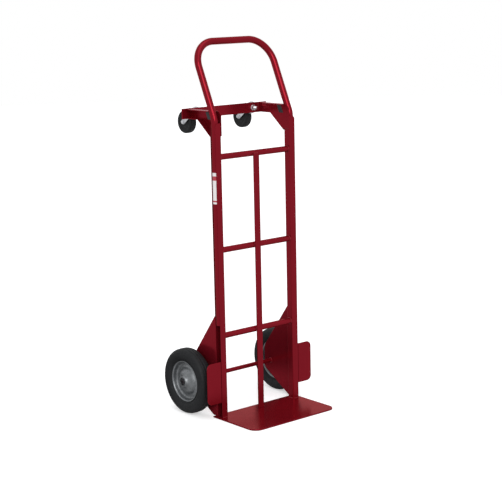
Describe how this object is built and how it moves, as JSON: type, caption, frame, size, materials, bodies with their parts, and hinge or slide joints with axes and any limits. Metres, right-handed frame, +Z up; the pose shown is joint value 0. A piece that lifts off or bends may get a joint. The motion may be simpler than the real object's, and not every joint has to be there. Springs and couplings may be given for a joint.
{
  "type": "convertible hand truck",
  "caption": "Convertible hand truck with a steel channel frame, toe plate, bent loop handle that pulls out, large rubber-tyred wheels and swivel casters on rear arms.",
  "frame": {"origin": "middle of the truck's box on the floor", "axes": "+Z up, toe plate towards -Y, wheels and casters towards +Y, +X the operator's left"},
  "size_m": [0.508, 0.477, 1.3851],
  "materials": {
    "red_enamel": "gloss enamel",
    "tyre_rubber": "matt moulded rubber",
    "rim_steel": "galvanised, semi-bright",
    "zinc_plate": "bright zinc plate",
    "dark_steel": "black oxide",
    "bush_steel": "plain turned steel",
    "black_nylon": "moulded",
    "caster_rubber": "hard rubber, satin",
    "label_film": "printed film, blank"
  },
  "bodies": {
    "frame": {"rail_left": "red_enamel", "rail_right": "red_enamel", "cross_tube_top": "red_enamel", "cross_tube_middle": "red_enamel", "cross_tube_bottom": "red_enamel", "center_strap": "red_enamel", "toe_plate": "red_enamel", "wheel_bracket_left": "red_enamel", "wheel_bracket_right": "red_enamel", "wheel_guard_left": "red_enamel", "wheel_guard_right": "red_enamel", "arm_bracket_left": "red_enamel", "arm_bracket_right": "red_enamel", "guide_pads": "black_nylon", "caster_crossbar": "red_enamel", "axle_shaft": "red_enamel", "axle_spacers": "zinc_plate", "axle_washers": "zinc_plate", "push_nuts": "dark_steel", "kingpins": "zinc_plate", "kingpin_washers": "zinc_plate", "kingpin_nuts": "zinc_plate", "upper_races": "zinc_plate"},
    "handle": {"handle_tube": "red_enamel", "handle_label": "label_film"},
    "wheel_left_body": {"tyre_left": "tyre_rubber", "rim_outer_left": "rim_steel", "rim_inner_left": "rim_steel", "hub_barrel_left": "rim_steel", "bearings_left": "black_nylon"},
    "wheel_right_body": {"tyre_right": "tyre_rubber", "rim_outer_right": "rim_steel", "rim_inner_right": "rim_steel", "hub_barrel_right": "rim_steel", "bearings_right": "black_nylon"},
    "caster_left_swivel_body": {"fork_left": "zinc_plate", "lower_race_left": "zinc_plate", "caster_bolt_left": "zinc_plate", "caster_nut_left": "zinc_plate"},
    "caster_right_swivel_body": {"fork_right": "zinc_plate", "lower_race_right": "zinc_plate", "caster_bolt_right": "zinc_plate", "caster_nut_right": "zinc_plate"},
    "caster_left_wheel_body": {"caster_wheel_left": "caster_rubber", "caster_bush_left": "bush_steel"},
    "caster_right_wheel_body": {"caster_wheel_right": "caster_rubber", "caster_bush_right": "bush_steel"}
  },
  "joints": [
    {"name": "handle_slide", "type": "slide", "parent": "frame", "child": "handle", "axis": [0, 0, 1], "range_m": [0, 0.75]},
    {"name": "wheel_left_spin", "type": "hinge", "parent": "frame", "child": "wheel_left_body", "pos_m": [0.222, 0.1155, 0.123], "axis": [1, 0, 0], "continuous": true},
    {"name": "wheel_right_spin", "type": "hinge", "parent": "frame", "child": "wheel_right_body", "pos_m": [-0.222, 0.1155, 0.123], "axis": [1, 0, 0], "continuous": true},
    {"name": "caster_left_swivel", "type": "hinge", "parent": "frame", "child": "caster_left_swivel_body", "pos_m": [0.133, 0.1475, 1.115], "axis": [0, 1, 0], "continuous": true},
    {"name": "caster_right_swivel", "type": "hinge", "parent": "frame", "child": "caster_right_swivel_body", "pos_m": [-0.133, 0.1475, 1.115], "axis": [0, 1, 0], "continuous": true},
    {"name": "caster_left_wheel_spin", "type": "hinge", "parent": "caster_left_swivel_body", "child": "caster_left_wheel_body", "pos_m": [0.133, 0.196, 1.079], "axis": [1, 0, 0], "continuous": true},
    {"name": "caster_right_wheel_spin", "type": "hinge", "parent": "caster_right_swivel_body", "child": "caster_right_wheel_body", "pos_m": [-0.133, 0.196, 1.079], "axis": [1, 0, 0], "continuous": true}
  ]
}
